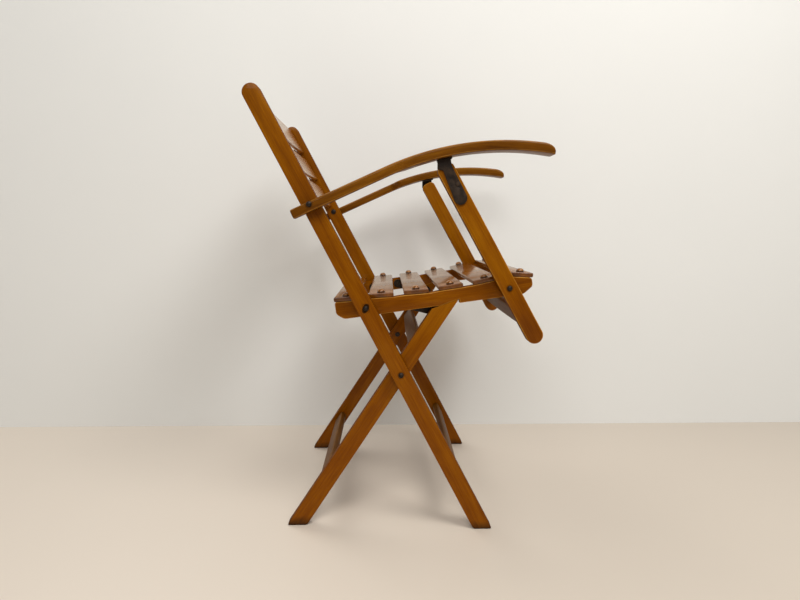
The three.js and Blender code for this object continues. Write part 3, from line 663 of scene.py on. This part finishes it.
def make_back_slats():
    upper_edge = BACK_POST_ABOVE - BACK_SLAT_TOP
    for level, height in BACK_SLAT_HEIGHTS.items():
        batten(f"back_slat_{level}", BACK, BACK_SLAT_SHEEN_WOOD, (-BACK_SLAT_SETBACK, upper_edge - height / 2),
               height=height, thickness=BACK_SLAT_THICKNESS, edge=BACK_SLAT_EDGE, crown=BACK_SLAT_CROWN,
               bow=BACK_SLAT_BOW, tilt=BACK_SLAT_TILT)
        upper_edge -= height + BACK_SLAT_GAP


def make_stretchers():
    batten("front_stretcher", BACK, STRETCHER_SHADE_WOOD, (0, -217), height=30, thickness=14,
           edge=STRETCHER_EDGE, belly=3.6)
    batten("rear_stretcher_low", LEGS, STRETCHER_SHADE_WOOD, (-LEG_BEHIND, -251), height=30, thickness=15,
           edge=STRETCHER_EDGE, belly=3.6, inside=LEG_INSET)
    batten("rear_stretcher_high", LEGS, STRETCHER_SHADE_WOOD, (-6.5, 57), height=28, thickness=12,
           edge=STRETCHER_EDGE, belly=4.2, inside=LEG_INSET)
    batten("arm_post_stretcher", POSTS, STRETCHER_SHADE_WOOD, (0.5, -65.5), height=38, thickness=12.5,
           edge=STRETCHER_EDGE, belly=3.8)


# Seat slats, each at its own height and tilt over the dished rails
RAIL_RISE = 15              # highest slat seat above the line of the rail
DISH_SHARES = (0.97, 0.83, 0.67, 0.69, 0.89, 0.97)
SLAT_TILTS = (-3.4, -4, -3, 1, 5, -11)
SLAT_WIDTH = 44
SLAT_THICKNESS = 8
SLAT_EDGE = 2.5
SLAT_END_INSET = 1          # slat ends inside the outer faces of the rails
FIRST_SLAT = 33             # middle of the rear slat behind the seat pivot
LAST_SLAT = 25.5            # middle of the front slat ahead of the pivot of the arm posts
SLAT_PITCH = (FIRST_SLAT + SEAT_REACH + LAST_SLAT) / (len(SLAT_TILTS) - 1)
SLAT_HALF = HALF_FRAME - SEAT_GAP - SLAT_END_INSET
SLAT_ENDS = ((0, 1.2), (0.4, 0.45), (1.2, 0))   # distance from the end, and how much less all round


def slat_leans():
    """The number of each slat, and its own lean at the place where it lies on the rails."""
    for k, (share, tilt) in enumerate(zip(DISH_SHARES, SLAT_TILTS)):
        yield k + 1, Lean(SEAT.at(SLAT_PITCH * k - FIRST_SLAT, RAIL_RISE * share), SEAT_TILT + tilt)


def make_seat_slats():
    ends = [(-SLAT_HALF + inside, less) for inside, less in SLAT_ENDS]
    stations = ends + [(0, 0)] + [(-along_z, less) for along_z, less in reversed(ends)]
    for number, lean in slat_leans():
        rings = []
        for along_z, less in stations:
            ring = section(SLAT_WIDTH - 2 * less, SLAT_THICKNESS - 2 * less, SLAT_EDGE - less / 2)
            worn_end = 1.0 if less > 0 else 0.0
            rings.append([(a, SEAT_GAP + SLAT_THICKNESS / 2 + b, along_z, max(worn, worn_end))
                          for a, b, worn in ring])
        lofted(f"seat_slat_{number}", SLAT_WOOD, rings, lean.world, "slat")


# Armrests: a straight rear part, then an arch that grows wider and rounds down to its tip
ARM_SLOPE = 24.2            # degrees, straight rear part
ARM_TIP_SLOPE = 9.6         # degrees below level at the tip
ARM_RADIUS = 486
ARM_STRAIGHT = 141          # arm pivot to the start of the arch
ARM_TAIL = 34               # behind the arm pivot
ARM_TAIL_CORNER = 3
ARM_THICKNESS = 16.5
ARM_RISE = 3.7              # pivot above the middle line
ARM_REAR_WIDTH = 20
ARM_FRONT_WIDTH = 44
ARM_EDGE = 4
STEP_START = 150            # arm pivot to where the arm grows wider
STEP_LENGTH = 26
NOSE_LENGTH = 22            # the top rounds down over the tip
NOSE_DROP = 12.5
NOSE_CORNER = 4
TAIL_STOPS = (0, 0.4, 1.2, ARM_TAIL_CORNER)
NOSE_STOP_SHARES = (0.2, 0.4, 0.57, 0.7, 0.8, 0.88, 0.94, 0.98, 1)


def arm_ring(distance, total, side):
    """The section at a distance along the arm from its pivot, with the wear and grain that lofted reads."""
    slope = math.radians(ARM_SLOPE)
    direction = Vector((math.cos(slope), math.sin(slope)))
    normal = Vector((-direction.y, direction.x))
    start = direction * ARM_STRAIGHT - normal * ARM_RISE
    if distance <= ARM_STRAIGHT:
        point = start + direction * (distance - ARM_STRAIGHT)
    else:
        centre = start - normal * ARM_RADIUS
        angle = (distance - ARM_STRAIGHT) / ARM_RADIUS - slope
        normal = Vector((math.sin(angle), math.cos(angle)))
        point = centre + normal * ARM_RADIUS

    def rounding(length, from_end):
        share = min(max(0.0, (length - from_end) / length), 1.0)
        return 1 - math.sqrt(1 - share * share)
    grow = min(max((distance - STEP_START) / STEP_LENGTH, 0.0), 1.0)
    grow = grow * grow * (3 - 2 * grow)
    full = ARM_REAR_WIDTH + grow * (ARM_FRONT_WIDTH - ARM_REAR_WIDTH)
    rear = ARM_TAIL_CORNER * rounding(ARM_TAIL_CORNER, distance + ARM_TAIL)
    width = full - 2 * NOSE_CORNER * rounding(NOSE_CORNER, total - distance) - rear
    lost = NOSE_DROP * rounding(NOSE_LENGTH, total - distance)
    outer = HALF_FRAME + BOARD_THICKNESS + SEAT_GAP + ARM_REAR_WIDTH
    middle = outer - full / 2
    ring = []
    for across, up, worn in section(width, ARM_THICKNESS - lost - rear, ARM_EDGE):
        place = point + normal * (up - lost / 2)
        ring.append((place.x, place.y, side * (middle - across), worn, distance, across, up))
    return ring


def make_armrests():
    arch = ARM_RADIUS * math.radians(ARM_SLOPE + ARM_TIP_SLOPE)
    total = ARM_STRAIGHT + arch
    stops = [stop - ARM_TAIL for stop in TAIL_STOPS]
    stops += [k * ARM_STRAIGHT / 6 for k in range(7)]
    stops += [STEP_START + STEP_LENGTH * k / 10 for k in range(11)]
    first = STEP_START + STEP_LENGTH
    stops += [first + (total - NOSE_LENGTH - first) * k / 18 for k in range(1, 19)]
    stops += [total - NOSE_LENGTH * (1 - share) for share in NOSE_STOP_SHARES]
    for side, label in SIDES:
        rings = [arm_ring(stop, total, side) for stop in stops]
        lofted(f"armrest_{label}", ARM_WOOD, rings, ARMS.world, "arch")


# Rivets and nails, each turned round its axis from a profile of (radius, level, rim)
RIVET_RADIUS = 3
RIVET_HEAD_RADIUS = 4.7
RIVET_HEAD_HEIGHT = 3.2
RIVET_END_RADIUS = 5.6
RIVET_END_HEIGHT = 2.4
PIN_RADIUS = 2.5
PIN_HEAD_RADIUS = 4
PIN_HEAD_HEIGHT = 1
PLATE_EDGE = 0.5
NAIL_RADIUS = 1.5
NAIL_DEPTH = 13             # into the rail
NAIL_INSET = 10             # nail to the end of its slat
BUTTON_RADIUS = 7
BUTTON_HEIGHT = 6.5
BUTTON_STEPS = 32
POINT_LENGTH = 0.6          # blunt point of a nail
POINT_SHARE = 0.8           # of the shank's radius, at its tip
RIM_GUARD = 0.1             # keeps the rims of the shank crisp

# Outlines of the heads and of the flat rivet end, as shares of their radius and height
RIVET_HEAD = (
    (1, 0), (1, 0.1), (0.96, 0.32), (0.87, 0.56), (0.72, 0.76), (0.52, 0.9), (0.28, 0.98), (0, 1),
)
RIVET_END = ((0, 1), (0.5, 1), (0.82, 0.86), (0.97, 0.5), (1, 0.1), (1, 0))
PIN_HEAD = ((1, 0), (0.99, 0.4), (0.93, 0.75), (0.82, 0.95), (0.5, 1), (0, 1))
BUTTON_DOME = (
    (1, 0), (1, 0.08), (0.985, 0.24), (0.94, 0.44), (0.85, 0.64), (0.71, 0.8), (0.54, 0.91),
    (0.35, 0.97), (0.17, 0.995), (0, 1),
)


def lathe(node, material, base, axis, profile, steps=28):
    """A closed body turned round the axis through base, and stamped with the rim of its profile."""
    axis = axis.normalized()
    across = axis.orthogonal().normalized()
    other = axis.cross(across)
    work = bmesh.new()
    rims = []

    def ring(radius, level, rim):
        if radius == 0:
            rims.append(rim)
            return [work.verts.new(base + axis * (level * MM))]
        rims.extend([rim] * steps)
        made = []
        for k in range(steps):
            angle = 2 * math.pi * k / steps
            out = across * math.cos(angle) + other * math.sin(angle)
            made.append(work.verts.new(base + (axis * level + out * radius) * MM))
        return made

    rings = [ring(*point) for point in profile]
    for low, high in zip(rings, rings[1:]):
        for k in range(steps):
            after = (k + 1) % steps
            if len(low) == 1:
                work.faces.new((low[0], high[k], high[after]))
            elif len(high) == 1:
                work.faces.new((low[k], low[after], high[0]))
            else:
                work.faces.new((low[k], low[after], high[after], high[k]))
    bmesh.ops.recalc_face_normals(work, faces=work.faces)
    mesh = mesh_of(work, node)
    stamp(mesh, seed_of(node), lambda co: co, rims)
    smooth(mesh, 40)
    return show(f"{node}_turned", mesh, node, material)


def dome(radius, height, shares):
    return [(radius * across, height * up, 1.0 if up < 0.3 else 0.0) for across, up in shares]


def nail(shank, length, head, end=None):
    """A shank below its head, with a flat round end of (radius, height) or a blunt point."""
    if end:
        radius, height = end
        start = [(radius * across, -length - height * down, 1.0 if down <= 0.5 else 0.0)
                 for across, down in RIVET_END]
    else:
        start = [(0, -length, 0), (shank * POINT_SHARE, -length, 0), (shank, -length + POINT_LENGTH, 0)]
    return start + [(shank, -length + POINT_LENGTH + RIM_GUARD, 0), (shank, -RIM_GUARD, 0)] + head


def make_hardware():
    rivet_head = dome(RIVET_HEAD_RADIUS, RIVET_HEAD_HEIGHT, RIVET_HEAD)
    rivet_end = (RIVET_END_RADIUS, RIVET_END_HEIGHT)
    pin_head = dome(PIN_HEAD_RADIUS, PIN_HEAD_HEIGHT, PIN_HEAD)
    for node in nodes:
        low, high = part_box(node)
        middle = (low + high) / 2
        side = 1 if middle.x > 0 else -1
        width = (high.x - low.x) / MM
        out = Vector((side, 0, 0))
        outer = Vector((high.x if side > 0 else low.x, middle.y, middle.z))
        inner = Vector((low.x if side > 0 else high.x, middle.y, middle.z))
        if "pivot" in node:
            length = width - RIVET_HEAD_HEIGHT - RIVET_END_HEIGHT
            profile = nail(RIVET_RADIUS, length, rivet_head, rivet_end)
            lathe(node, IRON, outer - out * (RIVET_HEAD_HEIGHT * MM), out, profile)
        elif node.startswith("bracket_pin"):
            profile = nail(PIN_RADIUS, width - PIN_HEAD_HEIGHT, pin_head)
            lathe(node, STRAP_IRON, outer - out * (PIN_HEAD_HEIGHT * MM), out, profile)
        elif node.startswith("link_") and "rivet" in node:
            profile = nail(RIVET_RADIUS, width - RIVET_HEAD_HEIGHT, rivet_head)
            lathe(node, IRON, inner + out * (RIVET_HEAD_HEIGHT * MM), -out, profile)
        elif "screw" in node:
            turned(node, IRON)
        elif node.startswith("arm_bracket"):
            plate(node, STRAP_IRON)
        elif node.startswith("fold_link"):
            plate(node, IRON)


def make_buttons():
    line = SLAT_HALF - NAIL_INSET
    level = SLAT_THICKNESS + 2 * SEAT_GAP
    profile = nail(NAIL_RADIUS, level + NAIL_DEPTH, dome(BUTTON_RADIUS, BUTTON_HEIGHT, BUTTON_DOME))
    for number, lean in slat_leans():
        for side, label in SIDES:
            base = lean.world(0, level, side * line)
            up = lean.world(0, level + 1, side * line) - base
            lathe(f"seat_button_{label}_{number}", BUTTON, base, up, profile, BUTTON_STEPS)


# Floor, wall and light, in metres and watts
STAGE_REACH = 6
WALL_HEIGHT = 4
WALL_X = 0.36
FLOOR_Z = -0.0005
LAMPS = {                   # place, width and power
    "key": ((-1.35, -1.0, 2.5), 1.1, 38),
    "fill": ((-2.2, 0.35, 2.1), 1.3, 25),
    "rear": ((1.4, 1.3, 2.2), 1.6, 22),
}
LAMP_AIM = Vector((0, 0, 0.45))
WORLD_STRENGTH = 0.3


def plain(name, color, roughness, one_sided=False):
    g = Graph(name)
    place = g.add("NewGeometry").outputs["Position"]
    cloud = g.noise(place, (3, 3, 3), 3, 0.5)
    tone = g.mix(g.range(cloud, 0.3, 0.7, 0.0, 0.12), color, tuple(c * 0.9 for c in color[:3]) + (1,))
    shader = g.add("BsdfPrincipled", {"Base Color": tone, "Roughness": roughness}).outputs[0]
    if one_sided:
        back = g.add("NewGeometry").outputs["Backfacing"]
        mixed = g.add("MixShader", {0: back, 1: shader, 2: g.add("BsdfTransparent").outputs[0]})
        shader = mixed.outputs[0]
    return g.finish(shader)


def sheet(name, corners, material):
    mesh = bpy.data.meshes.new(name)
    mesh.from_pydata(corners, [], [tuple(range(len(corners)))])
    mesh.materials.append(material)
    stage = bpy.data.objects.new(name, mesh)
    bpy.context.scene.collection.objects.link(stage)
    return stage


def lamp(name, place, size, power):
    data = bpy.data.lights.new(name, "AREA")
    data.shape = "RECTANGLE"
    data.size = size
    data.size_y = size
    data.energy = power
    light = bpy.data.objects.new(name, data)
    light.location = place
    light.rotation_mode = "QUATERNION"
    light.rotation_quaternion = (LAMP_AIM - Vector(place)).to_track_quat("-Z", "Y")
    bpy.context.scene.collection.objects.link(light)
    return light


def make_stage():
    reach = STAGE_REACH
    corners = [(-reach, -reach), (reach, -reach), (reach, reach), (-reach, reach)]
    sheet("floor", [(x, y, FLOOR_Z) for x, y in corners], plain("floor_pale", linear(222, 208, 190), 0.5))
    corners = [(-reach, 0), (-reach, WALL_HEIGHT), (reach, WALL_HEIGHT), (reach, 0)]
    wall = sheet("wall", [(WALL_X, y, z) for y, z in corners],
                 plain("wall_pale", linear(238, 237, 232), 0.8, one_sided=True))
    wall.visible_diffuse = False
    wall.visible_shadow = False
    for name, (place, size, power) in LAMPS.items():
        lamp(name, place, size, power)
    world = bpy.data.worlds.new("world")
    world.use_nodes = True
    background = world.node_tree.nodes["Background"]
    background.inputs["Color"].default_value = (1, 1, 1, 1)
    background.inputs["Strength"].default_value = WORLD_STRENGTH
    bpy.context.scene.world = world
    bpy.context.scene.view_settings.view_transform = "Standard"


make_camera()
make_boards()
make_back_slats()
make_stretchers()
make_seat_slats()
make_armrests()
make_hardware()
make_buttons()
make_stage()

bpy.context.view_layer.update()
